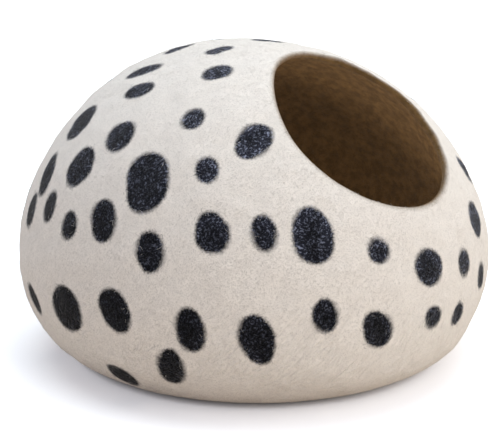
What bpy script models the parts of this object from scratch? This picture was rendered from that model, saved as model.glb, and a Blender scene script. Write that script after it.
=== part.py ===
"""A felt cat cave: one seamless dome of thick wet-felted wool, with a flat base and one tilted oval opening.

The dome is described on a sphere of directions. A direction is a turn round the upright axis and a polar
angle, 0 at the crown and 180 at the middle of the base. outline() says how far out and how high the felt
lies at each polar angle, swell() adds the unevenness of hand work, and the opening is an oval drawn round
its own direction. The felt is a sheet of rings that run from the opening's edge to the point opposite it.
It gets its thickness inwards, and its cut edge is rounded as felted edges are.

The opening faces -Y. The cave stands on Z = 0, with the middle of its box on the Z axis.
"""

import math
from collections import namedtuple

import bmesh
import bpy
from mathutils import Vector

# Driving dimensions, in metres.
WIDTH = 0.450           # across the widest line of the dome
HEIGHT = 0.294          # floor to crown
WAIST_HEIGHT = 0.088    # floor to the widest line
BASE_WIDTH = 0.310      # across the flat that rests on the floor
WALL = 0.007            # thickness of the felt
EDGE_ROUND = 0.0032     # rounding of both corners of the cut edge
LEAN = 0.0395           # how far the dome leans back, for each metre of height above the widest line

# The base edge's polar angle shares the sheet's length fairly between the wall and the base.
BASE_POLAR = math.radians(124.0)

# The opening, as angles seen from the middle of the widest line.
OPENING_POLAR = math.radians(39.6)     # its middle, down from the crown
OPENING_ACROSS = math.radians(22.3)    # half its width
OPENING_UP = math.radians(26.3)        # half its height up the dome
OPENING_TURN = math.radians(-12.7)     # how far the oval is turned in the surface
OPENING_UNEVEN = 0.031                 # three-sided unevenness, as a share of its size
OPENING_UNEVEN_TURN = math.radians(-39.0)

# The felt's soft swells and dents. Each one is round, with its middle at a turn from +X towards +Y and at a
# polar angle, its spread in degrees and its rise in metres.
Swell = namedtuple("Swell", "turn polar spread rise")
SWELLS = (
    Swell(turn=130, polar=56, spread=17, rise=-0.0013),
    Swell(turn=141, polar=88, spread=18, rise=0.0011),
    Swell(turn=109, polar=24, spread=16, rise=0.0013),
    Swell(turn=348, polar=17, spread=14, rise=-0.0012),
    Swell(turn=307, polar=80, spread=14, rise=0.0011),
    Swell(turn=296, polar=101, spread=11, rise=-0.0026),
    Swell(turn=284, polar=112, spread=10, rise=0.0028),
    Swell(turn=258, polar=115, spread=12, rise=0.0016),
    Swell(turn=222, polar=112, spread=14, rise=-0.0012),
    Swell(turn=235, polar=78, spread=20, rise=0.0010),
    Swell(turn=66, polar=62, spread=22, rise=0.0018),
    Swell(turn=30, polar=92, spread=20, rise=-0.0016),
    Swell(turn=5, polar=58, spread=18, rise=0.0014),
    Swell(turn=88, polar=100, spread=18, rise=-0.0014),
)
SWELL_FADE_HEIGHT = 0.025    # swells fade out below this, so that the base stays flat

# How finely the felt is made.
SPOKES = 60    # points round each ring
RINGS = 32     # rings from the opening to the point opposite it
EDGE_STEPS = 3

FELT_COLOUR = (0.72, 0.67, 0.60, 1.0)
FELT_ROUGHNESS = 0.95


def direction(turn, polar):
    """The unit vector at a turn round the Z axis and a polar angle down from the crown."""
    return Vector((math.sin(polar) * math.cos(turn), math.sin(polar) * math.sin(turn), math.cos(polar)))


def smooth_step(value):
    value = min(1.0, max(0.0, value))
    return value * value * (3 - 2 * value)


def outline(polar):
    """The felt's distance from the axis and its height at a polar angle, on the even dome."""
    half_width = WIDTH / 2
    half_base = BASE_WIDTH / 2
    quarter = math.pi / 2
    if polar <= quarter:
        # From the crown to the widest line the outline is a quarter of an ellipse.
        return half_width * math.sin(polar), WAIST_HEIGHT + (HEIGHT - WAIST_HEIGHT) * math.cos(polar)
    if polar < BASE_POLAR:
        # Another quarter turns under the widest line and meets the floor flat.
        turn = quarter * (polar - quarter) / (BASE_POLAR - quarter)
        return half_base + (half_width - half_base) * math.cos(turn), WAIST_HEIGHT * (1 - math.sin(turn))
    # The base is flat.
    return half_base * (math.pi - polar) / (math.pi - BASE_POLAR), 0.0


def swell(towards):
    """How far the swells and dents move the felt out, in a direction."""
    total = 0.0
    for bump in SWELLS:
        middle = direction(math.radians(bump.turn), math.radians(bump.polar))
        away = towards.angle(middle) / math.radians(bump.spread)
        total += bump.rise * math.exp(-away * away)
    return total


def felt_point(towards):
    """The point of the felt's outer face in a direction."""
    radius, height = outline(math.acos(min(1.0, max(-1.0, towards.z))))
    turn = math.atan2(towards.y, towards.x)
    middle = Vector((0, 0, WAIST_HEIGHT))
    point = Vector((radius * math.cos(turn), radius * math.sin(turn), height))
    point += (point - middle).normalized() * swell(towards) * smooth_step(height / SWELL_FADE_HEIGHT)
    point.y += LEAN * (point.z - WAIST_HEIGHT)
    return point


def opening_axes():
    """The opening's own direction, and the directions along its width and its height."""
    axis = direction(-math.pi / 2, OPENING_POLAR)
    level = Vector((1, 0, 0))
    uphill = level.cross(-axis)
    across = math.cos(OPENING_TURN) * level + math.sin(OPENING_TURN) * uphill
    up = -math.sin(OPENING_TURN) * level + math.cos(OPENING_TURN) * uphill
    return axis, across, up


def opening_spoke(share):
    """How far the opening's edge lies from its middle, as an angle, and which way, at a share of its round."""
    along = OPENING_ACROSS * math.cos(math.tau * share)
    upward = OPENING_UP * math.sin(math.tau * share)
    heading = math.atan2(upward, along)
    uneven = 1 + OPENING_UNEVEN * math.cos(3 * (heading - OPENING_UNEVEN_TURN))
    return math.hypot(along, upward) * uneven, heading


def ring_directions(ring):
    """The directions of one ring of the felt; ring 0 is the opening's edge."""
    axis, across, up = opening_axes()
    directions = []
    for spoke in range(SPOKES):
        edge, heading = opening_spoke(spoke / SPOKES)
        away = edge + (math.pi - edge) * ring / RINGS
        sideways = math.cos(heading) * across + math.sin(heading) * up
        directions.append(math.cos(away) * axis + math.sin(away) * sideways)
    return directions


def felt_sheet():
    """The outer face of the felt: rings from the opening to the point opposite it, closed there."""
    sheet = bmesh.new()
    rings = [[sheet.verts.new(felt_point(towards)) for towards in ring_directions(ring)] for ring in range(RINGS)]
    last = sheet.verts.new(felt_point(-opening_axes()[0]))
    for inner, outer in zip(rings, rings[1:]):
        for spoke in range(SPOKES):
            after = (spoke + 1) % SPOKES
            sheet.faces.new((inner[spoke], outer[spoke], outer[after], inner[after]))
    for spoke in range(SPOKES):
        sheet.faces.new((rings[-1][spoke], last, rings[-1][(spoke + 1) % SPOKES]))
    return sheet


def centre_on_floor(mesh):
    """Move the mesh so that the middle of its box is on the Z axis and it stands on Z = 0."""
    lows = [min(vertex.co[axis] for vertex in mesh.verts) for axis in range(3)]
    highs = [max(vertex.co[axis] for vertex in mesh.verts) for axis in range(3)]
    shift = Vector(((lows[0] + highs[0]) / 2, (lows[1] + highs[1]) / 2, lows[2]))
    bmesh.ops.translate(mesh, verts=mesh.verts, vec=-shift)


def felt_material():
    material = bpy.data.materials.new("cream_felt")
    material.use_nodes = True
    shader = material.node_tree.nodes["Principled BSDF"]
    shader.inputs["Base Color"].default_value = FELT_COLOUR
    shader.inputs["Roughness"].default_value = FELT_ROUGHNESS
    shader.inputs["Metallic"].default_value = 0.0
    return material


def felt_shell():
    """The whole cave: the sheet with its thickness and its rounded edge."""
    sheet = felt_sheet()
    centre_on_floor(sheet)
    mesh = bpy.data.meshes.new("felt_shell")
    sheet.to_mesh(mesh)
    sheet.free()
    mesh.shade_smooth()
    mesh.materials.append(felt_material())
    shell = bpy.data.objects.new("felt_shell", mesh)
    bpy.context.scene.collection.objects.link(shell)

    thickness = shell.modifiers.new("thickness", "SOLIDIFY")
    thickness.thickness = WALL
    thickness.offset = -1
    thickness.use_even_offset = True

    rounding = shell.modifiers.new("rounded edge", "BEVEL")
    rounding.width = EDGE_ROUND
    rounding.segments = EDGE_STEPS
    rounding.limit_method = "ANGLE"
    rounding.angle_limit = math.radians(60)
    return shell


def main():
    for item in list(bpy.data.objects):
        bpy.data.objects.remove(item, do_unlink=True)
    felt_shell()


main()
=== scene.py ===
"""The looks of a felt cat cave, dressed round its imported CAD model.

The felt is one closed sheet of wool: cream outside, with charcoal spots felted flush into it, and brown
inside. Loose fibres lie over all three. Names ending in _MM hold millimetres; other lengths are in metres.
"""

import math
from collections import namedtuple

import bpy
import numpy as np
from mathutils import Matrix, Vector
from mathutils.bvhtree import BVHTree


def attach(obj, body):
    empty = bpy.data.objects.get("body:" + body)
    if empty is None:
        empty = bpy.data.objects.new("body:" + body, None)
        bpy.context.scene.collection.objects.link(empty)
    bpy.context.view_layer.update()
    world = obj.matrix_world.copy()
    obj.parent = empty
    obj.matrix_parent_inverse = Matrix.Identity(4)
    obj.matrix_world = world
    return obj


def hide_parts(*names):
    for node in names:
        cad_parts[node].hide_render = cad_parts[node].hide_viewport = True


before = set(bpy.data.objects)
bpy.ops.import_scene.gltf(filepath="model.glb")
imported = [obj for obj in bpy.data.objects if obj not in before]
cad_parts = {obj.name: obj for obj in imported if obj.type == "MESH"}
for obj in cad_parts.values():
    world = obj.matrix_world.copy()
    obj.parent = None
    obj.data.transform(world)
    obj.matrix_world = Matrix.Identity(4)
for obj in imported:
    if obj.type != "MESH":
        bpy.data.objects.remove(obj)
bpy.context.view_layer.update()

MM = 0.001
TINY = 1e-9

# The felt's driving dimensions, as in the part's source.
WIDTH = 0.450
HEIGHT = 0.294
WAIST_HEIGHT = 0.088
BASE_WIDTH = 0.310
WALL = 0.007
LEAN = 0.0395
BASE_POLAR = math.radians(124.0)
OPENING_POLAR = math.radians(39.6)
OPENING_ACROSS = math.radians(22.3)
OPENING_UP = math.radians(26.3)
OPENING_TURN = math.radians(-12.7)
OPENING_UNEVEN = 0.031
OPENING_UNEVEN_TURN = math.radians(-39.0)

# The felt's soft swells and dents, in degrees and metres.
Swell = namedtuple("Swell", "turn polar spread rise")
SWELLS = (
    Swell(turn=130, polar=56, spread=17, rise=-0.0013),
    Swell(turn=141, polar=88, spread=18, rise=0.0011),
    Swell(turn=109, polar=24, spread=16, rise=0.0013),
    Swell(turn=348, polar=17, spread=14, rise=-0.0012),
    Swell(turn=307, polar=80, spread=14, rise=0.0011),
    Swell(turn=296, polar=101, spread=11, rise=-0.0026),
    Swell(turn=284, polar=112, spread=10, rise=0.0028),
    Swell(turn=258, polar=115, spread=12, rise=0.0016),
    Swell(turn=222, polar=112, spread=14, rise=-0.0012),
    Swell(turn=235, polar=78, spread=20, rise=0.0010),
    Swell(turn=66, polar=62, spread=22, rise=0.0018),
    Swell(turn=30, polar=92, spread=20, rise=-0.0016),
    Swell(turn=5, polar=58, spread=18, rise=0.0014),
    Swell(turn=88, polar=100, spread=18, rise=-0.0014),
)
SWELL_FADE_HEIGHT = 0.025

# The small lumps of hand felting, as seeded waves between two lengths. They fade out low on the wall.
Lumps = namedtuple("Lumps", "shortest longest rise")
WIDE_LUMPS = Lumps(shortest=0.028, longest=0.060, rise=0.00032)
SMALL_LUMPS = Lumps(shortest=0.013, longest=0.024, rise=0.00013)
LUMP_WAVES = 26
LUMP_FADE_HEIGHT = 0.020
OUTER_LUMPS_SEED = 11
INNER_LUMPS_SEED = 21

# How finely the felt is made here.
SPOKES = 360
OUTER_RINGS = 165
INNER_RINGS = 66
LIP_STEPS = 12
LIP_MIDDLE_ROW = OUTER_RINGS - 1 + LIP_STEPS // 2
LAST_LIP_ROW = OUTER_RINGS - 1 + LIP_STEPS
ANGLE_STEP = 1e-3       # between points that give the felt's slope, in radians

# The two discs of the felt's UV map: the outer face with the lip, and the inner face.
Disc = namedtuple("Disc", "middle size")
OUTER_DISC = Disc(middle=(0.43, 0.43), size=0.415)
INNER_DISC = Disc(middle=(0.84, 0.84), size=0.150)

# The photograph's frame and the camera that took it.
PHOTO_WIDTH = 492
PHOTO_HEIGHT = 440
FOCAL_PIXELS = 1656
SENSOR_MM = 36.0
CAMERA_AZIMUTH = math.radians(-48.1)
CAMERA_ELEVATION = math.radians(16.0)
CAMERA_DISTANCE = 1.6
CAMERA_SIGHT = 50
AIM_ACROSS = -0.0080
AIM_HEIGHT = 0.1211

# Spots that the photograph shows: the pixel of the middle, the size on the felt in millimetres, and how far
# the long way leans to the right, in degrees.
SeenSpot = namedtuple("SeenSpot", "across down wide tall lean")
SEEN_SPOTS = (
    SeenSpot(across=144, down=71, wide=20, tall=39, lean=43),
    SeenSpot(across=139, down=90, wide=22, tall=32, lean=56),
    SeenSpot(across=219, down=50, wide=17, tall=30, lean=-2),
    SeenSpot(across=217, down=72, wide=24, tall=31, lean=30),
    SeenSpot(across=81, down=122, wide=37, tall=43, lean=-45),
    SeenSpot(across=120, down=136, wide=31, tall=35, lean=-29),
    SeenSpot(across=80, down=167, wide=34, tall=41, lean=-13),
    SeenSpot(across=48, down=174, wide=26, tall=46, lean=-28),
    SeenSpot(across=31, down=210, wide=27, tall=33, lean=-21),
    SeenSpot(across=50, down=206, wide=23, tall=30, lean=-7),
    SeenSpot(across=69, down=225, wide=22, tall=27, lean=-14),
    SeenSpot(across=103, down=220, wide=28, tall=40, lean=-18),
    SeenSpot(across=193, down=119, wide=21, tall=26, lean=-5),
    SeenSpot(across=207, down=170, wide=21, tall=26, lean=-8),
    SeenSpot(across=147, down=183, wide=42, tall=59, lean=-18),
    SeenSpot(across=254, down=141, wide=29, tall=42, lean=38),
    SeenSpot(across=212, down=233, wide=30, tall=37, lean=-16),
    SeenSpot(across=264, down=233, wide=22, tall=33, lean=-10),
    SeenSpot(across=150, down=252, wide=26, tall=37, lean=-11),
    SeenSpot(across=313, down=236, wide=36, tall=52, lean=-9),
    SeenSpot(across=35, down=299, wide=20, tall=33, lean=-50),
    SeenSpot(across=66, down=309, wide=41, tall=46, lean=-62),
    SeenSpot(across=114, down=311, wide=32, tall=42, lean=-33),
    SeenSpot(across=190, down=331, wide=27, tall=41, lean=-9),
    SeenSpot(across=171, down=368, wide=26, tall=42, lean=7),
    SeenSpot(across=123, down=376, wide=27, tall=33, lean=-36),
    SeenSpot(across=257, down=340, wide=31, tall=47, lean=-11),
    SeenSpot(across=325, down=316, wide=23, tall=31, lean=-12),
    SeenSpot(across=378, down=330, wide=28, tall=37, lean=-30),
    SeenSpot(across=379, down=251, wide=22, tall=24, lean=-50),
    SeenSpot(across=430, down=267, wide=33, tall=36, lean=-64),
    SeenSpot(across=464, down=263, wide=25, tall=24, lean=34),
    SeenSpot(across=481, down=276, wide=22, tall=24, lean=30),
    SeenSpot(across=475, down=219, wide=32, tall=34, lean=16),
    SeenSpot(across=433, down=317, wide=21, tall=23, lean=-55),
    SeenSpot(across=457, down=314, wide=18, tall=22, lean=40),
)

# Spots on the skyline and on the sides that the photograph doesn't show, by the turn round the Z axis and the
# polar angle of their middle, in degrees. Their sizes are in millimetres too.
HiddenSpot = namedtuple("HiddenSpot", "turn polar wide tall lean")
HIDDEN_SPOTS = (
    HiddenSpot(turn=126, polar=17, wide=16, tall=32, lean=-30),
    HiddenSpot(turn=353, polar=6, wide=17, tall=32, lean=28),
    HiddenSpot(turn=303, polar=64, wide=17, tall=33, lean=-25),
    HiddenSpot(turn=72, polar=17, wide=26, tall=34, lean=20),
    HiddenSpot(turn=18, polar=24, wide=22, tall=31, lean=-12),
    HiddenSpot(turn=104, polar=31, wide=20, tall=27, lean=-8),
    HiddenSpot(turn=56, polar=34, wide=33, tall=44, lean=14),
    HiddenSpot(turn=26, polar=41, wide=19, tall=25, lean=-20),
    HiddenSpot(turn=119, polar=41, wide=30, tall=42, lean=10),
    HiddenSpot(turn=352, polar=36, wide=25, tall=35, lean=8),
    HiddenSpot(turn=83, polar=45, wide=21, tall=28, lean=-14),
    HiddenSpot(turn=325, polar=47, wide=21, tall=30, lean=-10),
    HiddenSpot(turn=108, polar=52, wide=27, tall=38, lean=-6),
    HiddenSpot(turn=51, polar=54, wide=23, tall=32, lean=-10),
    HiddenSpot(turn=4, polar=52, wide=34, tall=48, lean=-12),
    HiddenSpot(turn=123, polar=61, wide=22, tall=30, lean=16),
    HiddenSpot(turn=27, polar=60, wide=28, tall=39, lean=9),
    HiddenSpot(turn=78, polar=62, wide=38, tall=52, lean=7),
    HiddenSpot(turn=343, polar=63, wide=22, tall=31, lean=14),
    HiddenSpot(turn=321, polar=66, wide=28, tall=38, lean=-16),
    HiddenSpot(turn=105, polar=70, wide=21, tall=27, lean=20),
    HiddenSpot(turn=54, polar=72, wide=20, tall=29, lean=18),
    HiddenSpot(turn=132, polar=76, wide=29, tall=40, lean=-9),
    HiddenSpot(turn=9, polar=73, wide=21, tall=28, lean=-6),
    HiddenSpot(turn=34, polar=78, wide=31, tall=43, lean=-13),
    HiddenSpot(turn=89, polar=80, wide=24, tall=34, lean=-12),
    HiddenSpot(turn=352, polar=81, wide=35, tall=47, lean=6),
    HiddenSpot(turn=113, polar=86, wide=34, tall=45, lean=12),
    HiddenSpot(turn=329, polar=83, wide=20, tall=27, lean=10),
    HiddenSpot(turn=312, polar=83, wide=29, tall=40, lean=-10),
    HiddenSpot(turn=65, polar=88, wide=30, tall=41, lean=-16),
    HiddenSpot(turn=138, polar=94, wide=22, tall=30, lean=8),
    HiddenSpot(turn=17, polar=91, wide=22, tall=32, lean=15),
    HiddenSpot(turn=44, polar=94, wide=20, tall=27, lean=-4),
    HiddenSpot(turn=96, polar=97, wide=27, tall=38, lean=-8),
    HiddenSpot(turn=338, polar=97, wide=30, tall=41, lean=-14),
    HiddenSpot(turn=128, polar=101, wide=25, tall=33, lean=-20),
    HiddenSpot(turn=1, polar=99, wide=23, tall=30, lean=9),
    HiddenSpot(turn=316, polar=101, wide=22, tall=31, lean=13),
    HiddenSpot(turn=74, polar=104, wide=22, tall=30, lean=12),
    HiddenSpot(turn=28, polar=105, wide=28, tall=36, lean=-10),
    HiddenSpot(turn=147, polar=108, wide=20, tall=27, lean=15),
    HiddenSpot(turn=111, polar=110, wide=20, tall=28, lean=6),
)
SPOT_REACH = 0.015      # how far outside a spot's edge its distance is still worked out
SPOT_SEED = 5

# Hand-laid spots are a little uneven: how many lobes lie round a spot, and their rise as a share of its size.
SPOT_LOBES = ((1, 0.020), (2, 0.015), (3, 0.020), (4, 0.011), (5, 0.008), (8, 0.006))
SPOT_MARGIN = 1.2       # room for the lobes round a spot
SPOT_CENTRE = 0.05      # the share of a spot, round its middle, that counts as its middle

# Where the brown wool starts: how far before the middle of the lip, in millimetres, at places round the
# opening in degrees, from its right side over its top.
BROWN_STARTS = (
    (0, 4.8), (18, 6.2), (45, 4.5), (75, 3.0), (100, 2.6), (135, 3.0), (160, 3.5), (195, 3.2), (240, 3.4),
    (292, 4.0), (312, 2.9), (330, 3.8), (350, 4.9),
)


# -------- the felt's shape


def smooth_step(value):
    value = np.clip(value, 0.0, 1.0)
    return value * value * (3 - 2 * value)


def unit(vectors):
    return vectors / np.linalg.norm(vectors, axis=-1, keepdims=True)


def direction(turn, polar):
    """Unit vectors at turns round the Z axis and polar angles down from the crown, in radians."""
    return np.stack((np.sin(polar) * np.cos(turn), np.sin(polar) * np.sin(turn), np.cos(polar)), axis=-1)


def outline(polar):
    """The felt's distance from the axis and its height at polar angles, on the even dome."""
    half_width = WIDTH / 2
    half_base = BASE_WIDTH / 2
    quarter = math.pi / 2
    under = quarter * np.clip((polar - quarter) / (BASE_POLAR - quarter), 0, 1)
    upper_height = WAIST_HEIGHT + (HEIGHT - WAIST_HEIGHT) * np.cos(polar)
    lower_radius = half_base + (half_width - half_base) * np.cos(under)
    above = polar <= quarter
    radius = np.where(above, half_width * np.sin(polar), lower_radius)
    height = np.where(above, upper_height, WAIST_HEIGHT * (1 - np.sin(under)))
    on_base = polar >= BASE_POLAR
    radius = np.where(on_base, half_base * (math.pi - polar) / (math.pi - BASE_POLAR), radius)
    return radius, np.where(on_base, 0.0, height)


def swell(towards):
    """How far the swells and dents move the felt out, in each direction."""
    total = np.zeros(towards.shape[:-1])
    for bump in SWELLS:
        middle = direction(math.radians(bump.turn), math.radians(bump.polar))
        away = np.arccos(np.clip(towards @ middle, -1, 1)) / math.radians(bump.spread)
        total += bump.rise * np.exp(-away * away)
    return total


def felt_points(towards):
    """The points of the felt's outer face in each direction, before it is centred on the Z axis."""
    radius, height = outline(np.arccos(np.clip(towards[..., 2], -1, 1)))
    turn = np.arctan2(towards[..., 1], towards[..., 0])
    points = np.stack((radius * np.cos(turn), radius * np.sin(turn), height), axis=-1)
    rise = swell(towards) * smooth_step(height / SWELL_FADE_HEIGHT)
    points += unit(points - (0, 0, WAIST_HEIGHT)) * rise[..., None]
    points[..., 1] += LEAN * (points[..., 2] - WAIST_HEIGHT)
    return points


def opening_axes():
    """The opening's own direction, and the directions along its width and its height."""
    axis = direction(-math.pi / 2, OPENING_POLAR)
    level = np.array((1.0, 0.0, 0.0))
    uphill = np.cross(level, -axis)
    across = math.cos(OPENING_TURN) * level + math.sin(OPENING_TURN) * uphill
    up = -math.sin(OPENING_TURN) * level + math.cos(OPENING_TURN) * uphill
    return axis, across, up


def opening_spokes(share):
    """How far the opening's edge lies from its middle, as an angle, and which way, at shares of its round."""
    along = OPENING_ACROSS * np.cos(math.tau * share)
    upward = OPENING_UP * np.sin(math.tau * share)
    heading = np.arctan2(upward, along)
    uneven = 1 + OPENING_UNEVEN * np.cos(3 * (heading - OPENING_UNEVEN_TURN))
    return np.hypot(along, upward) * uneven, heading


def felt_at(away, heading):
    """The outer face's points at angles away from the opening's middle, on its headings."""
    axis, across, up = opening_axes()
    sideways = np.cos(heading)[..., None] * across + np.sin(heading)[..., None] * up
    return felt_points(np.cos(away)[..., None] * axis + np.sin(away)[..., None] * sideways)


def felt_and_normals(away, heading):
    """The outer face's points and outward normals, and the way along the felt towards the opening."""
    points = felt_at(away, heading)
    outwards = felt_at(away + ANGLE_STEP, heading) - felt_at(away - ANGLE_STEP, heading)
    round_it = felt_at(away, heading + ANGLE_STEP) - felt_at(away, heading - ANGLE_STEP)
    normals = unit(np.cross(outwards, round_it))
    normals *= np.sign(np.sum(normals * (points - (0, 0, WAIST_HEIGHT)), axis=-1, keepdims=True))
    return points, normals, -unit(outwards)


def waves(points, seed, kind):
    """Seeded waves in all directions, which make soft lumps."""
    rng = np.random.default_rng(seed)
    total = np.zeros(points.shape[:-1])
    for _ in range(LUMP_WAVES):
        way = unit(rng.normal(size=3))
        length = rng.uniform(kind.shortest, kind.longest)
        total += np.sin(points @ way * (math.tau / length) + rng.uniform(0, math.tau))
    return total * kind.rise / math.sqrt(LUMP_WAVES / 2)


def lumps(points, seed):
    """How far the felt is raised by its lumps. They fade out at the floor, so that it still stands flat."""
    rise = waves(points, seed, WIDE_LUMPS)
    rise += waves(points, seed + 1, SMALL_LUMPS)
    return rise * smooth_step(points[..., 2] / LUMP_FADE_HEIGHT)


def face_rows(edge, heading, rings, depth, seed):
    """One face of the felt, as rows of points from the lip to the pole. Its depth is a share of the wall."""
    rows = []
    for ring in range(rings):
        away = edge + (math.pi - edge) * ring / rings
        points, normals, _ = felt_and_normals(away, heading)
        rise = lumps(points, seed) - WALL * depth
        rows.append(points + normals * rise[:, None])
    return rows


def lip_rows(edge, heading):
    """The rounded lip, as rows of points from the outer face to the inner one."""
    points, normals, to_opening = felt_and_normals(edge, heading)
    outer_rise = lumps(points, OUTER_LUMPS_SEED)
    inner_rise = lumps(points, INNER_LUMPS_SEED)
    rows = []
    for step in range(1, LIP_STEPS):
        turn = math.pi * step / LIP_STEPS
        depth = (1 - math.cos(turn)) / 2
        rise = outer_rise * (1 - depth) + inner_rise * depth - WALL * depth
        rows.append(points + normals * rise[:, None] + to_opening * (WALL / 2 * math.sin(turn)))
    return rows


def felt_rows():
    """The felt as rows of points, each one round the opening: from the pole opposite it over the outer face
    to the lip, round the lip, and back over the inner face."""
    edge, heading = opening_spokes(np.arange(SPOKES) / SPOKES)
    edge = edge + (WALL / 2) / (WIDTH / 2)    # the lip's rounding reaches on to the opening's edge
    outside = face_rows(edge, heading, OUTER_RINGS, 0.0, OUTER_LUMPS_SEED)
    inside = face_rows(edge, heading, INNER_RINGS, 1.0, INNER_LUMPS_SEED)
    return np.array(outside[::-1] + lip_rows(edge, heading) + inside)


def poles():
    """The points opposite the opening, on the outer face and on the inner one. Both lie on the base."""
    outer = felt_at(np.array([math.pi]), np.zeros(1))[0]
    return outer, outer + (0, 0, WALL)


def along_felt(rows):
    """How far each row lies from the first one, along the felt."""
    gaps = np.linalg.norm(np.diff(rows, axis=0), axis=-1).mean(axis=1)
    return np.concatenate(([0.0], np.cumsum(gaps)))


def mean_gap(row, pole):
    return np.linalg.norm(row - pole, axis=-1).mean()


def past_lip(rows, outer_pole, inner_pole):
    """How far each row and then each pole lies past the middle of the lip, along the felt: the outer face is
    less than 0."""
    along = along_felt(rows)
    at_poles = (-mean_gap(rows[0], outer_pole), along[-1] + mean_gap(rows[-1], inner_pole))
    return np.concatenate((along, at_poles)) - along[LIP_MIDDLE_ROW]


def disc_layout(rows, pole, disc):
    """Where rows lie on a flat disc round the pole: the rows' distances along the felt set its radius."""
    radius = along_felt(rows) + mean_gap(rows[0], pole)
    radius *= disc.size / radius[-1]
    angle = math.tau * np.arange(SPOKES) / SPOKES
    flat = np.stack((np.cos(angle), np.sin(angle)), axis=-1)
    return np.array(disc.middle) + radius[:, None, None] * flat


def faces_and_layout(rows, outer_pole, inner_pole):
    """The felt's faces, and the place of each of their corners on the UV map."""
    outside = disc_layout(rows[:LAST_LIP_ROW + 1], outer_pole, OUTER_DISC)
    inside = disc_layout(rows[:LAST_LIP_ROW - 1:-1], inner_pole, INNER_DISC)[::-1]
    count = len(rows)
    faces, layout = [], []
    spokes = np.arange(SPOKES)
    after = (spokes + 1) % SPOKES
    for row in range(count - 1):
        here, there = row * SPOKES, (row + 1) * SPOKES
        faces += np.stack((here + spokes, here + after, there + after, there + spokes), axis=-1).tolist()
        disc, first = (outside, row) if row < LAST_LIP_ROW else (inside, row - LAST_LIP_ROW)
        near, far = disc[first], disc[first + 1]
        layout.append(np.stack((near[spokes], near[after], far[after], far[spokes]), axis=1).reshape(-1, 2))
    # A fan of triangles closes each face of the felt at its pole.
    outer_fan = (count * SPOKES, 0, outside[0], after, spokes)
    inner_fan = (count * SPOKES + 1, count - 1, inside[-1], spokes, after)
    for pole, row, ring, first, second in (outer_fan, inner_fan):
        here = row * SPOKES
        faces += np.stack((np.full(SPOKES, pole), here + first, here + second), axis=-1).tolist()
        centre = np.repeat([ring.mean(axis=0)], SPOKES, axis=0)
        layout.append(np.stack((centre, ring[first], ring[second]), axis=1).reshape(-1, 2))
    return faces, np.concatenate(layout)


def felt_mesh():
    """The felt's mesh and its points, how far each point lies past the middle of the lip, and how far the
    felt was moved to centre it."""
    rows = felt_rows()
    outer_pole, inner_pole = poles()
    count = len(rows)
    points = np.concatenate((rows.reshape(-1, 3), [outer_pole, inner_pole]))
    low, high = points.min(axis=0), points.max(axis=0)
    shift = np.array(((low[0] + high[0]) / 2, (low[1] + high[1]) / 2, low[2]))
    points -= shift

    faces, layout = faces_and_layout(rows, outer_pole, inner_pole)
    mesh = bpy.data.meshes.new("spotted_felt")
    mesh.from_pydata(points.tolist(), [], faces)
    uv_map = mesh.uv_layers.new(name="OFBake")
    uv_map.data.foreach_set("uv", layout.astype(np.float32).ravel())
    if signed_volume(mesh) < 0:
        mesh.flip_normals()
    mesh.shade_smooth()

    along = past_lip(rows, outer_pole, inner_pole)
    along = np.concatenate((np.repeat(along[:count], SPOKES), along[count:]))
    places, starts = zip(*BROWN_STARTS)
    starts = np.interp(np.arange(SPOKES) * 360 / SPOKES, places, starts, period=360)
    starts = np.concatenate((np.tile(starts, count), (0.0, 0.0)))
    set_attribute(mesh, "past_border", along / MM + starts)
    return mesh, points, along, shift


def signed_volume(mesh):
    """The mesh's volume, less than 0 where its faces point inwards."""
    mesh.calc_loop_triangles()
    corners = np.empty(len(mesh.loop_triangles) * 3, dtype=np.int32)
    mesh.loop_triangles.foreach_get("vertices", corners)
    points = np.empty(len(mesh.vertices) * 3)
    mesh.vertices.foreach_get("co", points)
    a, b, c = points.reshape(-1, 3)[corners.reshape(-1, 3)].transpose(1, 0, 2)
    return float(np.sum(a * np.cross(b, c))) / 6


def set_attribute(mesh, name, values):
    attribute = mesh.attributes.new(name, "FLOAT", "POINT")
    attribute.data.foreach_set("value", np.asarray(values, dtype=np.float32))


# -------- the camera and the spots


def add_object(name, data):
    """A new object in the scene."""
    item = bpy.data.objects.new(name, data)
    bpy.context.scene.collection.objects.link(item)
    return item


def turn_axis(item, axis, way):
    """Turn an object so that one of its axes points a way, with its Y axis up."""
    item.rotation_mode = "QUATERNION"
    item.rotation_quaternion = way.to_track_quat(axis, "Y")


def camera_axes():
    """The camera's place, and its directions forward, to the right and up."""
    level = math.cos(CAMERA_ELEVATION)
    turn = (math.sin(CAMERA_AZIMUTH) * level, -math.cos(CAMERA_AZIMUTH) * level)
    back = Vector((*turn, math.sin(CAMERA_ELEVATION)))
    forward = -back
    right = forward.cross(Vector((0, 0, 1))).normalized()
    up = right.cross(forward)
    place = right * AIM_ACROSS + Vector((0, 0, AIM_HEIGHT)) + back * CAMERA_DISTANCE
    return place, forward, right, up


def make_camera():
    place, forward, _, _ = camera_axes()
    data = bpy.data.cameras.new("camera")
    data.sensor_fit = "HORIZONTAL"
    data.sensor_width = SENSOR_MM
    data.lens = SENSOR_MM * FOCAL_PIXELS / PHOTO_WIDTH
    data.clip_end = CAMERA_SIGHT
    camera = add_object("camera", data)
    camera.location = place
    turn_axis(camera, "-Z", forward)
    bpy.context.scene.camera = camera


def seen_middle(spot, surface):
    """The point of the felt that the camera sees at the spot's pixel, and the felt's normal there."""
    place, forward, right, up = camera_axes()
    across = right * (spot.across - PHOTO_WIDTH / 2)
    ray = forward * FOCAL_PIXELS + across - up * (spot.down - PHOTO_HEIGHT / 2)
    point, normal, _, _ = surface.ray_cast(place, ray.normalized())
    if point is None:
        raise ValueError(f"no felt at pixel {spot.across},{spot.down}")
    return point, normal


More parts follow.
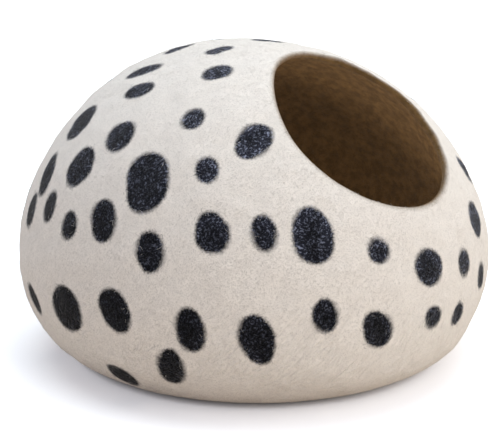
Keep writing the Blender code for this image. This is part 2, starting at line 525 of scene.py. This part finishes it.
def hidden_middle(spot, surface, shift):
    """The point of the felt at the spot's turn and polar angle, and the felt's normal there."""
    towards = direction(math.radians(spot.turn), math.radians(spot.polar))
    point, normal, _, _ = surface.find_nearest(felt_points(towards[None])[0] - shift)
    return point, normal


def spot_distance(points, middle, normal, spot, rng):
    """The signed distance of points from a spot's edge, less than 0 inside it."""
    normal = normal.normalized()
    up = (Vector((0, 0, 1)) - normal * normal.z).normalized()
    right = up.cross(normal)
    lean = math.radians(spot.lean)
    long_way = np.array(up * math.cos(lean) + right * math.sin(lean))
    short_way = np.array(right * math.cos(lean) - up * math.sin(lean))
    half_wide, half_tall = spot.wide * MM / 2, spot.tall * MM / 2

    offset = points - np.array(middle)
    far = np.linalg.norm(offset, axis=-1)
    near = far < half_tall * SPOT_MARGIN + SPOT_REACH
    offset, far = offset[near], np.maximum(far[near], TINY)
    along, sideways = offset @ long_way, offset @ short_way
    flat = np.maximum(np.hypot(along, sideways), TINY)
    along, sideways = along * far / flat, sideways * far / flat

    heading = np.arctan2(along, sideways)
    uneven = np.ones_like(heading)
    for lobes, share in SPOT_LOBES:
        uneven += share * rng.normal() * np.cos(lobes * heading + rng.uniform(0, math.tau))
    across, upward = sideways / (half_wide * uneven), along / (half_tall * uneven)
    reach = np.hypot(across, upward)
    slope = np.maximum(np.hypot(across / half_wide, upward / half_tall), TINY)
    distance = np.full(len(points), SPOT_REACH)
    distance[near] = np.where(reach > SPOT_CENTRE, reach * (reach - 1) / slope, -half_wide)
    return distance


def all_spot_distances(mesh, points, along, shift):
    """The signed distance of every point of the outer face from the nearest spot's edge."""
    corners = [Vector(vertex.co) for vertex in mesh.vertices]
    surface = BVHTree.FromPolygons(corners, [polygon.vertices[:] for polygon in mesh.polygons])
    outside = along < 0
    distance = np.full(len(points), SPOT_REACH)
    rng = np.random.default_rng(SPOT_SEED)
    for spot in SEEN_SPOTS + HIDDEN_SPOTS:
        if isinstance(spot, SeenSpot):
            middle, normal = seen_middle(spot, surface)
        else:
            middle, normal = hidden_middle(spot, surface, shift)
        from_spot = spot_distance(points[outside], middle, normal, spot, rng)
        distance[outside] = np.minimum(distance[outside], from_spot)
    return np.clip(distance, -SPOT_REACH, SPOT_REACH)


# -------- shader nodes


def set_input(tree, socket, value):
    """Link a value that is another node's output, or else set it."""
    if isinstance(value, bpy.types.NodeSocket):
        tree.links.new(value, socket)
    else:
        socket.default_value = value


def add_node(tree, kind, inputs=(), **settings):
    """A new node, with its settings, and with values or links on its inputs."""
    node = tree.nodes.new(kind)
    for name, value in settings.items():
        setattr(node, name, value)
    for socket, value in dict(inputs).items():
        set_input(tree, node.inputs[socket], value)
    return node


def maths(tree, operation, first, second=0.0, third=0.0):
    node = add_node(tree, "ShaderNodeMath", {0: first, 1: second, 2: third}, operation=operation)
    return node.outputs[0]


def vector_maths(tree, operation, first, second):
    return add_node(tree, "ShaderNodeVectorMath", {0: first, 1: second}, operation=operation).outputs


# A ramp leads smoothly from what it gives at its start to what it gives at its end, and holds beyond them.
Ramp = namedtuple("Ramp", "start end at_start at_end")


def ranged(tree, value, ramp):
    """What a ramp gives for a value."""
    inputs = {"Value": value, "From Min": ramp.start, "From Max": ramp.end}
    inputs.update({"To Min": ramp.at_start, "To Max": ramp.at_end})
    return add_node(tree, "ShaderNodeMapRange", inputs, interpolation_type="SMOOTHSTEP").outputs["Result"]


def mixed(tree, share, first, second):
    """Two colours mixed."""
    inputs = {"Factor": share, 6: first, 7: second}
    return add_node(tree, "ShaderNodeMix", inputs, data_type="RGBA").outputs[2]


def scaled(tree, vector, amount):
    """A colour or a place times an amount."""
    return add_node(tree, "ShaderNodeVectorMath", {0: vector, "Scale": amount}, operation="SCALE").outputs[0]


def rgba(colour):
    return (*colour, 1.0)


def set_all_over(shader, values):
    """Set the shader's own sockets, for what is the same all over."""
    for socket, value in values.items():
        shader.inputs[socket].default_value = value


def attribute(tree, name):
    return add_node(tree, "ShaderNodeAttribute", attribute_name=name).outputs["Fac"]


def place_in_mm(tree):
    place = add_node(tree, "ShaderNodeTexCoord").outputs["Object"]
    return scaled(tree, place, 1 / MM)


def height_of(tree, place):
    return add_node(tree, "ShaderNodeSeparateXYZ", {"Vector": place}).outputs["Z"]


NOISE_MIDDLE = 0.5


def noise(tree, vector, size_mm, detail=2.0, roughness=0.5):
    inputs = {"Vector": vector, "Scale": 1 / size_mm, "Detail": detail, "Roughness": roughness}
    return add_node(tree, "ShaderNodeTexNoise", inputs)


def folded(tree, grain, ramp):
    """Thin ridges along the lines where a noise crosses its middle value."""
    fold = maths(tree, "SUBTRACT", grain.outputs["Fac"], NOISE_MIDDLE)
    return ranged(tree, maths(tree, "ABSOLUTE", fold), ramp)


def new_group(name, inputs, outputs):
    """A shader node group with float inputs and outputs, and its two end nodes."""
    group = bpy.data.node_groups.new(name, "ShaderNodeTree")
    for socket, value in inputs:
        added = group.interface.new_socket(socket, in_out="INPUT", socket_type="NodeSocketFloat")
        added.default_value = value
    for socket in outputs:
        group.interface.new_socket(socket, in_out="OUTPUT", socket_type="NodeSocketFloat")
    return group, group.nodes.new("NodeGroupInput"), group.nodes.new("NodeGroupOutput")


def new_material(name):
    material = bpy.data.materials.new(name)
    material.use_nodes = True
    return material, material.node_tree, material.node_tree.nodes["Principled BSDF"]


# -------- the wool's finish


# Wool colours, as shares of red, green and blue light.
CREAM_WOOL = (0.825, 0.778, 0.718)
CHARCOAL_WOOL = (0.0060, 0.0065, 0.0102)
CHARCOAL_FLECK = (0.088, 0.097, 0.130)
BROWN_WOOL = (0.27, 0.160, 0.066)

# Matted wool: turned and stretched strands, clouds and speckle, and how much each raises the surface. Turns
# are in radians, and widths and sizes in millimetres.
SWIRL_SIZE_MM = 15.0
STRAND_TURNS = ((0.3, 0.2, 0.0), (1.4, 0.5, 0.9), (0.8, 1.5, 2.1), (2.2, 0.9, 1.3))
STRAND_STRETCH = (1, 1, 5)
STRAND_RIDGE = Ramp(0.0, 0.13, 1.0, 0.0)
CLOUD_SIZE_MM = 9.0
FLECKS_IN_SPECKLE = Ramp(0.50, 0.68, 0.0, 1.0)
FLECKS_ON_STRANDS = Ramp(0.10, 0.90, 0.0, 1.0)
STRAND_RELIEF = 0.55
CLOUD_RELIEF = 0.50
SPECKLE_RELIEF = 0.35
MATTED_CREAM = {"Strand Width": 1.1, "Swirl": 7.0, "Fleck Size": 1.1}
MATTED_DARK = {"Strand Width": 1.4, "Swirl": 9.0, "Fleck Size": 2.0}

# How each wool's tone changes with its strands, clouds and flecks.
CREAM_CLOUDS = Ramp(0.30, 0.70, 0.985, 1.015)
CREAM_STRANDS = Ramp(0.0, 1.0, 0.81, 1.05)
CREAM_FLECKS = Ramp(0.0, 1.0, 1.03, 0.86)
CHARCOAL_CLOUDS = Ramp(0.32, 0.68, 0.50, 1.60)
BROWN_CLOUDS = Ramp(0.30, 0.70, 0.75, 1.25)
BROWN_STRANDS = Ramp(0.0, 1.0, 0.75, 1.15)

# Painted shade and sheen on the charcoal, by the height above the floor and from flank to flank: darker near
# the floor and on one flank, lighter high up and on the other. And how the charcoal's tone changes with the
# distance from a spot's edge, which is less than 0 inside it.
CHARCOAL_SHADE_BY_HEIGHT_MM = Ramp(80.0, 250.0, 0.52, 1.85)
CHARCOAL_SHADE_BY_FLANK_MM = Ramp(-200.0, 200.0, 0.60, 1.7)
SHADED_TO_LIT_FLANK = (0.668, -0.744, 0.0)
CHARCOAL_EDGE_MM = Ramp(-15.0, -4.0, 0.62, 1.25)

# Painted light on the brown, by the distance along the felt from where it starts: painted shade at its border
# on the lip, lighter just past it, and painted shade deep inside.
BROWN_LIP_PAINTED_LIGHT_MM = Ramp(0.0, 28.0, 0.55, 1.28)
BROWN_DEEP_PAINTED_SHADE_MM = Ramp(130.0, 200.0, 1.0, 0.48)

# How ragged the borders between the wools are, and over what width one gives way to the next.
RAGGED_SIZE_MM = 1.9
SPOT_RAGGED_MM = 4.4
SPOT_BORDER_MM = Ramp(-1.9, 1.9, 1.0, 0.0)
BROWN_RAGGED_MM = 3.5
BROWN_BORDER_MM = Ramp(-4.2, 3.8, 0.0, 1.0)
THINNING_SIZE_MM = 16.0
THINNING = Ramp(0.40, 0.72, 1.0, 2.1)

# Faint creases low on the wall, in patches. Their turn is in radians.
CREASE_TURN = (0, 0.785, -0.845)
CREASE_STRETCH = (1, 1, 3.0)
CREASE_SIZE_MM = 9.0
CREASE_RIDGE = Ramp(0.0, 0.14, 1.0, 0.0)
CREASE_RELIEF = -1.4
CREASE_HEIGHT_MM = Ramp(60.0, 130.0, 1.0, 0.0)
PATCH_SIZE_MM = 55.0
PATCHES = Ramp(0.28, 0.46, 0.0, 1.0)

RELIEF_DEPTH = 0.0008
RELIEF_STRENGTH = 0.85
SPOT_ROUGHNESS = Ramp(0.0, 1.0, 0.95, 0.62)     # from cream to charcoal
SHEEN_ROUGHNESS = 0.4
FELT_SHINE = {"Specular IOR Level": 0.04, "Sheen Weight": 0.17, "Sheen Roughness": SHEEN_ROUGHNESS}
FIBRE_SHINE = {
    "Roughness": 0.75, "Specular IOR Level": 0.2, "Sheen Weight": 0.08, "Sheen Roughness": SHEEN_ROUGHNESS,
}


def matted_wool_group():
    """Matted wool. Strands swirl over it, clouds thin and thicken it, and some hairs stand out as flecks."""
    outputs = ("Height", "Strands", "Clouds", "Flecks")
    group, inner, outer = new_group("matted_wool", MATTED_CREAM.items(), outputs)
    in_mm = place_in_mm(group)
    drift = noise(group, in_mm, SWIRL_SIZE_MM, detail=1.0).outputs["Color"]
    drift = vector_maths(group, "SUBTRACT", drift, (NOISE_MIDDLE,) * 3)[0]
    swirled = vector_maths(group, "ADD", in_mm, scaled(group, drift, inner.outputs["Swirl"]))[0]

    thickness = maths(group, "DIVIDE", 1.0, inner.outputs["Strand Width"])
    strands = None
    for turn in STRAND_TURNS:
        # Stretched noise, folded about its middle, leaves thin ridges along the way it is stretched.
        inputs = {"Vector": swirled, "Rotation": turn, "Scale": STRAND_STRETCH}
        turned = add_node(group, "ShaderNodeMapping", inputs, vector_type="TEXTURE")
        grain = noise(group, turned.outputs[0], 1.0, detail=1.0)
        group.links.new(thickness, grain.inputs["Scale"])
        ridge = folded(group, grain, STRAND_RIDGE)
        strands = ridge if strands is None else maths(group, "MAXIMUM", strands, ridge)

    clouds = noise(group, in_mm, CLOUD_SIZE_MM, detail=3.0, roughness=0.6).outputs["Fac"]
    speckle = noise(group, swirled, 1.0, detail=2.0, roughness=0.6)
    group.links.new(maths(group, "DIVIDE", 1.0, inner.outputs["Fleck Size"]), speckle.inputs["Scale"])
    speckle = speckle.outputs["Fac"]
    bright = ranged(group, speckle, FLECKS_IN_SPECKLE)
    flecks = maths(group, "MULTIPLY", bright, ranged(group, strands, FLECKS_ON_STRANDS))
    height = maths(group, "MULTIPLY", strands, STRAND_RELIEF)
    height = maths(group, "ADD", height, maths(group, "MULTIPLY", clouds, CLOUD_RELIEF))
    height = maths(group, "ADD", height, maths(group, "MULTIPLY", speckle, SPECKLE_RELIEF))
    for socket, value in zip(outputs, (height, strands, clouds, flecks)):
        group.links.new(value, outer.inputs[socket])
    return group


def charcoal_shade_and_sheen(tree, in_mm):
    """Painted shade and sheen on the charcoal: darker near the floor and on one flank, lighter elsewhere."""
    by_height = ranged(tree, height_of(tree, in_mm), CHARCOAL_SHADE_BY_HEIGHT_MM)
    flank = vector_maths(tree, "DOT_PRODUCT", in_mm, SHADED_TO_LIT_FLANK)["Value"]
    return maths(tree, "MULTIPLY", by_height, ranged(tree, flank, CHARCOAL_SHADE_BY_FLANK_MM))


def cream_colour(tree, wool):
    cream = scaled(tree, CREAM_WOOL, ranged(tree, wool["Clouds"], CREAM_CLOUDS))
    cream = scaled(tree, cream, ranged(tree, wool["Strands"], CREAM_STRANDS))
    return scaled(tree, cream, ranged(tree, wool["Flecks"], CREAM_FLECKS))


def charcoal_colour(tree, wool, in_mm, from_edge):
    """The charcoal, which is laid thickest, and so darkest, in the middle of the large spots."""
    charcoal = mixed(tree, wool["Flecks"], rgba(CHARCOAL_WOOL), rgba(CHARCOAL_FLECK))
    charcoal = scaled(tree, charcoal, ranged(tree, wool["Clouds"], CHARCOAL_CLOUDS))
    # Painted shade and sheen over the cave: darker near the floor and on one flank.
    charcoal = scaled(tree, charcoal, charcoal_shade_and_sheen(tree, in_mm))
    return scaled(tree, charcoal, ranged(tree, from_edge, CHARCOAL_EDGE_MM))


def brown_colour(tree, wool, past_border):
    """The brown, with painted shade on the lip and deep inside, and painted light just past the lip."""
    brown = scaled(tree, BROWN_WOOL, ranged(tree, wool["Clouds"], BROWN_CLOUDS))
    brown = scaled(tree, brown, ranged(tree, wool["Strands"], BROWN_STRANDS))
    brown = scaled(tree, brown, ranged(tree, past_border, BROWN_LIP_PAINTED_LIGHT_MM))
    return scaled(tree, brown, ranged(tree, past_border, BROWN_DEEP_PAINTED_SHADE_MM))


def crease_ridges(tree, in_mm):
    """Faint creases in patches low on the wall, where the felt carries the dome."""
    inputs = {"Vector": in_mm, "Rotation": CREASE_TURN, "Scale": CREASE_STRETCH}
    run = add_node(tree, "ShaderNodeMapping", inputs, vector_type="TEXTURE").outputs[0]
    ridges = folded(tree, noise(tree, run, CREASE_SIZE_MM), CREASE_RIDGE)
    patches = ranged(tree, noise(tree, in_mm, PATCH_SIZE_MM, detail=1.0).outputs["Fac"], PATCHES)
    low_down = ranged(tree, height_of(tree, in_mm), CREASE_HEIGHT_MM)
    return maths(tree, "MULTIPLY", ridges, maths(tree, "MULTIPLY", patches, low_down))


def felt_material(wool):
    """The whole sheet's finish: cream, charcoal in the spots, and brown from just inside the lip."""
    material, tree, shader = new_material("spotted_felt")
    cream_wool = add_node(tree, "ShaderNodeGroup", MATTED_CREAM, node_tree=wool).outputs
    dark_wool = add_node(tree, "ShaderNodeGroup", MATTED_DARK, node_tree=wool).outputs
    in_mm = place_in_mm(tree)

    # Where one wool meets the other their fibres mingle, so the borders are ragged at the size of a hair, and
    # in some stretches the upper wool thins out before it ends.
    ragged = noise(tree, in_mm, RAGGED_SIZE_MM, detail=2.5, roughness=0.65).outputs["Fac"]
    ragged = maths(tree, "SUBTRACT", ragged, NOISE_MIDDLE)
    thinning = ranged(tree, noise(tree, in_mm, THINNING_SIZE_MM).outputs["Fac"], THINNING)
    from_edge = maths(tree, "MULTIPLY", attribute(tree, "spot_distance"), 1 / MM)
    ragged_edge = maths(tree, "MULTIPLY_ADD", ragged, SPOT_RAGGED_MM, from_edge)
    spotted = ranged(tree, maths(tree, "DIVIDE", ragged_edge, thinning), SPOT_BORDER_MM)
    past_border = attribute(tree, "past_border")
    ragged_border = maths(tree, "MULTIPLY_ADD", ragged, BROWN_RAGGED_MM, past_border)
    browned = ranged(tree, ragged_border, BROWN_BORDER_MM)

    charcoal = charcoal_colour(tree, dark_wool, in_mm, from_edge)
    outside = mixed(tree, spotted, cream_colour(tree, cream_wool), charcoal)
    colour = mixed(tree, browned, outside, brown_colour(tree, dark_wool, past_border))
    tree.links.new(colour, shader.inputs["Base Color"])

    height = maths(tree, "MULTIPLY_ADD", crease_ridges(tree, in_mm), CREASE_RELIEF, cream_wool["Height"])
    inputs = {"Height": height, "Distance": RELIEF_DEPTH, "Strength": RELIEF_STRENGTH}
    tree.links.new(add_node(tree, "ShaderNodeBump", inputs).outputs["Normal"], shader.inputs["Normal"])
    tree.links.new(ranged(tree, spotted, SPOT_ROUGHNESS), shader.inputs["Roughness"])
    set_all_over(shader, FELT_SHINE)
    return material


def fibre_material(coat):
    """Loose fibres, each one of its own tone between two colours."""
    material, tree, shader = new_material(coat.name)
    colour = mixed(tree, attribute(tree, "fibre_tone"), rgba(coat.dark), rgba(coat.light))
    if coat.where == "charcoal_share":
        # The charcoal fibres carry the same painted shade and sheen as the charcoal wool.
        colour = scaled(tree, colour, charcoal_shade_and_sheen(tree, place_in_mm(tree)))
    tree.links.new(colour, shader.inputs["Base Color"])
    set_all_over(shader, FIBRE_SHINE)
    return material


# -------- loose fibres


# How each shape of fibre bends, as shares of its length: sideways near its start and its end, and how far
# its far end stands up.
FibreShape = namedtuple("FibreShape", "start_bend end_bend end_lift")
FIBRE_SHAPES = (
    FibreShape(start_bend=0.30, end_bend=0.16, end_lift=-0.04),
    FibreShape(start_bend=-0.26, end_bend=0.24, end_lift=0.05),
    FibreShape(start_bend=0.12, end_bend=0.42, end_lift=0.10),
    FibreShape(start_bend=0.38, end_bend=-0.20, end_lift=-0.03),
    FibreShape(start_bend=-0.10, end_bend=-0.34, end_lift=0.17),
)

# Every shape is a unit long, and starts below the felt's surface. Its rises are shares of its length too.
FIBRE_END = 0.5
FIBRE_BEND = 0.2
FIBRE_ROOT = -0.05
FIBRE_START_RISE = 0.10
FIBRE_END_RISE = 0.08
FIBRE_SIDES = 3
FIBRE_POINTS = 4
FIBRE_TIP = 0.35            # the thickness at both ends, as a share of the middle's
FIBRE_BULGE = 2.6           # how quickly it thickens towards the middle
FIBRE_TILTS = (-0.10, 0.04)     # the least and the most, in radians
FIBRE_LENGTHS = (0.55, 1.35)    # the least and the most, as shares of the coat's length

Coat = namedtuple("Coat", "name where seed density length thickness dark light")
COATS = (
    Coat(
        name="cream_fibres", where="cream_share", seed=31, density=22000, length=0.0052, thickness=0.00013,
        dark=(0.72, 0.68, 0.62), light=(0.90, 0.87, 0.82),
    ),
    Coat(
        name="charcoal_fibres", where="charcoal_share", seed=32, density=170000, length=0.0040,
        thickness=0.00014, dark=(0.004, 0.0045, 0.007), light=(0.066, 0.072, 0.096),
    ),
    Coat(
        name="brown_fibres", where="brown_share", seed=33, density=42000, length=0.0050, thickness=0.00014,
        dark=(0.050, 0.030, 0.016), light=(0.22, 0.15, 0.085),
    ),
)

# Where the fibres root. A fade starts at a place and is full one span on from it.
Fade = namedtuple("Fade", "start span")
ABOVE_FLOOR = Fade(start=0.003, span=0.004)
BEFORE_LIP = -0.002         # the outer wools' fibres end this far before the middle of the lip
CREAM_BORDER = 0.002        # more cream fibres cross a spot's border, as far as this from its edge
CREAM_EXTRA = 2.0
CREAM_FROM_EDGE = Fade(start=-0.0015, span=0.002)
CHARCOAL_FROM_EDGE = Fade(start=0.0012, span=-0.003)
BROWN_FROM_LIP = Fade(start=-0.007, span=0.004)
BROWN_HEIGHT = Fade(start=0.10, span=0.05)


def fibre_shapes(tree, radius):
    """One fibre of each shape, ready to be strewn. It is a unit long and thickest in the middle."""
    ring = add_node(tree, "GeometryNodeCurvePrimitiveCircle", {"Resolution": FIBRE_SIDES, "Radius": radius})
    along = add_node(tree, "GeometryNodeSplineParameter").outputs["Factor"]
    bulge = maths(tree, "MULTIPLY", along, maths(tree, "SUBTRACT", 1.0, along))
    taper = maths(tree, "MULTIPLY_ADD", bulge, FIBRE_BULGE, FIBRE_TIP)
    shapes = tree.nodes.new("GeometryNodeJoinGeometry")
    for shape in FIBRE_SHAPES:
        line = add_node(tree, "GeometryNodeCurvePrimitiveBezierSegment", {
            "Resolution": 2 * FIBRE_POINTS,
            "Start": (-FIBRE_END, 0, FIBRE_ROOT),
            "Start Handle": (-FIBRE_BEND, shape.start_bend, FIBRE_START_RISE),
            "End Handle": (FIBRE_BEND, shape.end_bend, FIBRE_END_RISE),
            "End": (FIBRE_END, 0, shape.end_lift),
        })
        line = add_node(tree, "GeometryNodeResampleCurve", {"Curve": line.outputs[0], "Count": FIBRE_POINTS})
        fibre = add_node(tree, "GeometryNodeCurveToMesh", {
            "Curve": line.outputs[0],
            "Profile Curve": ring.outputs[0],
            "Scale": taper,
            "Fill Caps": True,
        })
        whole = add_node(tree, "GeometryNodeGeometryToInstance", {0: fibre.outputs[0]})
        tree.links.new(whole.outputs[0], shapes.inputs[0])
    return shapes.outputs[0]


def turned_about(tree, rotation, axis, angle):
    """A rotation turned further, about one of its own axes."""
    turn = add_node(tree, "FunctionNodeAxisAngleToRotation", {"Axis": axis, "Angle": angle})
    inputs = {0: rotation, 1: turn.outputs[0]}
    return add_node(tree, "FunctionNodeRotateRotation", inputs, rotation_space="LOCAL").outputs[0]


def fibre_tree():
    """A Geometry Nodes tree that strews bent, tapered fibres over the felt."""
    tree = bpy.data.node_groups.new("strewn_fibres", "GeometryNodeTree")
    sockets = (
        ("Felt", "Geometry"), ("Where", "String"), ("Density", "Float"), ("Length", "Float"),
        ("Thickness", "Float"), ("Seed", "Int"), ("Finish", "Material"),
    )
    for name, kind in sockets:
        tree.interface.new_socket(name, in_out="INPUT", socket_type="NodeSocket" + kind)
    tree.interface.new_socket("Fibres", in_out="OUTPUT", socket_type="NodeSocketGeometry")
    given = tree.nodes.new("NodeGroupInput").outputs
    result = tree.nodes.new("NodeGroupOutput")

    def random_value(low, high, seed_step):
        seed = maths(tree, "ADD", given["Seed"], seed_step)
        node = add_node(tree, "FunctionNodeRandomValue", {2: low, 3: high, "Seed": seed}, data_type="FLOAT")
        return node.outputs[1]

    share = add_node(tree, "GeometryNodeInputNamedAttribute", {"Name": given["Where"]}, data_type="FLOAT")
    density = maths(tree, "MULTIPLY", share.outputs["Attribute"], given["Density"])
    inputs = {"Mesh": given["Felt"], "Density": density, "Seed": given["Seed"]}
    strewn = add_node(tree, "GeometryNodeDistributePointsOnFaces", inputs)

    radius = maths(tree, "DIVIDE", maths(tree, "MULTIPLY", given["Thickness"], 0.5), given["Length"])
    inputs = {4: 0, 5: len(FIBRE_SHAPES) - 1, "Seed": given["Seed"]}
    pick = add_node(tree, "FunctionNodeRandomValue", inputs, data_type="INT")
    rotation = turned_about(tree, strewn.outputs["Rotation"], (0, 0, 1), random_value(0, math.tau, 1))
    rotation = turned_about(tree, rotation, (0, 1, 0), random_value(*FIBRE_TILTS, 2))
    laid = add_node(tree, "GeometryNodeInstanceOnPoints", {
        "Points": strewn.outputs["Points"],
        "Instance": fibre_shapes(tree, radius),
        "Pick Instance": True,
        "Instance Index": pick.outputs[2],
        "Rotation": rotation,
        "Scale": maths(tree, "MULTIPLY", given["Length"], random_value(*FIBRE_LENGTHS, 3)),
    })
    toned = add_node(tree, "GeometryNodeStoreNamedAttribute", {
        "Geometry": laid.outputs[0],
        "Name": "fibre_tone",
        "Value": random_value(0.0, 1.0, 4),
    }, data_type="FLOAT", domain="INSTANCE")
    real = add_node(tree, "GeometryNodeRealizeInstances", {0: toned.outputs[0]})
    inputs = {"Geometry": real.outputs[0], "Material": given["Finish"]}
    finished = add_node(tree, "GeometryNodeSetMaterial", inputs)
    tree.links.new(finished.outputs[0], result.inputs["Fibres"])
    return tree


def strew_fibres(tree, felt, coat):
    """A mesh of loose fibres of one wool, rooted in the felt."""
    source = add_object("fibre_source", felt.data)
    modifier = source.modifiers.new("fibres", "NODES")
    modifier.node_group = tree
    values = {
        "Where": coat.where, "Density": float(coat.density), "Length": coat.length,
        "Thickness": coat.thickness, "Seed": coat.seed, "Finish": fibre_material(coat),
    }
    for item in tree.interface.items_tree:
        if item.in_out == "INPUT" and item.name in values:
            modifier[item.identifier] = values[item.name]
    evaluated = source.evaluated_get(bpy.context.evaluated_depsgraph_get())
    mesh = bpy.data.meshes.new_from_object(evaluated)
    mesh.name = coat.name
    bpy.data.objects.remove(source)
    mesh.shade_smooth()
    return add_object(coat.name, mesh)


def faded(value, fade):
    return smooth_step((value - fade.start) / fade.span)


def fibre_shares(mesh, points, along, distance):
    """Where each wool's loose fibres root: 1 is its full density."""
    height = points[:, 2]
    outside = np.where(along < BEFORE_LIP, 1.0, 0.0) * faded(height, ABOVE_FLOOR)
    border = np.exp(-(distance / CREAM_BORDER) ** 2)
    set_attribute(mesh, "cream_share", outside * (faded(distance, CREAM_FROM_EDGE) + CREAM_EXTRA * border))
    set_attribute(mesh, "charcoal_share", outside * faded(distance, CHARCOAL_FROM_EDGE))
    set_attribute(mesh, "brown_share", faded(along, BROWN_FROM_LIP) * faded(height, BROWN_HEIGHT))


# -------- the floor and the lights


# The studio's floor glows a little where the camera sees it, but not in the narrow gap under the cave, and it
# gives back a dimmer, warmer light.
FLOOR_HALF_WIDTH = 9.0
FLOOR_COLOUR = (0.93, 0.93, 0.93)
FLOOR_BOUNCE = (0.74, 0.65, 0.56)
FLOOR_GLOW = 0.29
FLOOR_GAP = 0.006
FLOOR_SHINE = {
    "Roughness": 0.9, "Specular IOR Level": 0.1, "Emission Color": (0.96, 0.98, 1.06, 1.0),
}

# Broad suns, by the turn round the Z axis and the height that they shine from, in degrees.
Sun = namedtuple("Sun", "name turn height strength softness colour")
SUNS = (
    Sun("key_light", turn=-72, height=37, strength=1.64, softness=60, colour=(1.0, 0.98, 0.93)),
    Sun("side_fill", turn=132, height=8, strength=0.23, softness=60, colour=(0.70, 0.90, 1.25)),
    Sun("back_light", turn=46, height=67, strength=2.20, softness=60, colour=(0.86, 0.96, 1.0)),
)
SUN_DISTANCE = 3
INSIDE_LIGHT = 0.42
INSIDE_LIGHT_RADIUS = 0.05
INSIDE_LIGHT_PLACE = (0.0, -0.08, 0.13)
SKY = {"Color": (0.98, 0.95, 1.06, 1.0), "Strength": 0.37}


def make_floor():
    """A wide pale floor, which also fills the camera's view behind the cave."""
    half = FLOOR_HALF_WIDTH
    mesh = bpy.data.meshes.new("floor")
    corners = [(-half, -half, 0), (half, -half, 0), (half, half, 0), (-half, half, 0)]
    mesh.from_pydata(corners, [], [(0, 1, 2, 3)])
    material, tree, shader = new_material("pale_floor")
    seen = add_node(tree, "ShaderNodeLightPath").outputs["Is Camera Ray"]
    tree.links.new(mixed(tree, seen, rgba(FLOOR_BOUNCE), rgba(FLOOR_COLOUR)), shader.inputs["Base Color"])
    open_floor = add_node(tree, "ShaderNodeAmbientOcclusion", {"Distance": FLOOR_GAP}).outputs["AO"]
    glow = maths(tree, "MULTIPLY", maths(tree, "MULTIPLY", seen, FLOOR_GLOW), open_floor)
    tree.links.new(glow, shader.inputs["Emission Strength"])
    set_all_over(shader, FLOOR_SHINE)
    mesh.materials.append(material)
    floor = add_object("floor", mesh)


def make_sun(sun):
    data = bpy.data.lights.new(sun.name, "SUN")
    data.energy = sun.strength
    data.angle = math.radians(sun.softness)
    data.color = sun.colour
    light = add_object(sun.name, data)
    towards = Vector(direction(math.radians(sun.turn), math.radians(90 - sun.height)))
    turn_axis(light, "Z", towards)
    light.location = towards * SUN_DISTANCE


def make_inside_light():
    """A lamp held inside, in place of the light that comes through the wool."""
    data = bpy.data.lights.new("inside_light", "POINT")
    data.energy = INSIDE_LIGHT
    data.shadow_soft_size = INSIDE_LIGHT_RADIUS
    light = add_object("inside_light", data)
    light.location = INSIDE_LIGHT_PLACE
    light.visible_camera = False


def make_world():
    world = bpy.data.worlds.new("studio")
    world.use_nodes = True
    set_all_over(world.node_tree.nodes["Background"], SKY)
    bpy.context.scene.world = world
    bpy.context.scene.view_settings.view_transform = "Standard"


# -------- the whole scene


make_camera()
mesh, points, along, shift = felt_mesh()
distance = all_spot_distances(mesh, points, along, shift)
set_attribute(mesh, "spot_distance", distance)
fibre_shares(mesh, points, along, distance)
mesh.materials.append(felt_material(matted_wool_group()))
felt = add_object("spotted_felt", mesh)

tree = fibre_tree()
fibres = [strew_fibres(tree, felt, coat) for coat in COATS]

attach(felt, "root")
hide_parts("felt_shell")
for piece in fibres:
    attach(piece, "root")

make_floor()
for sun in SUNS:
    make_sun(sun)
make_inside_light()
make_world()
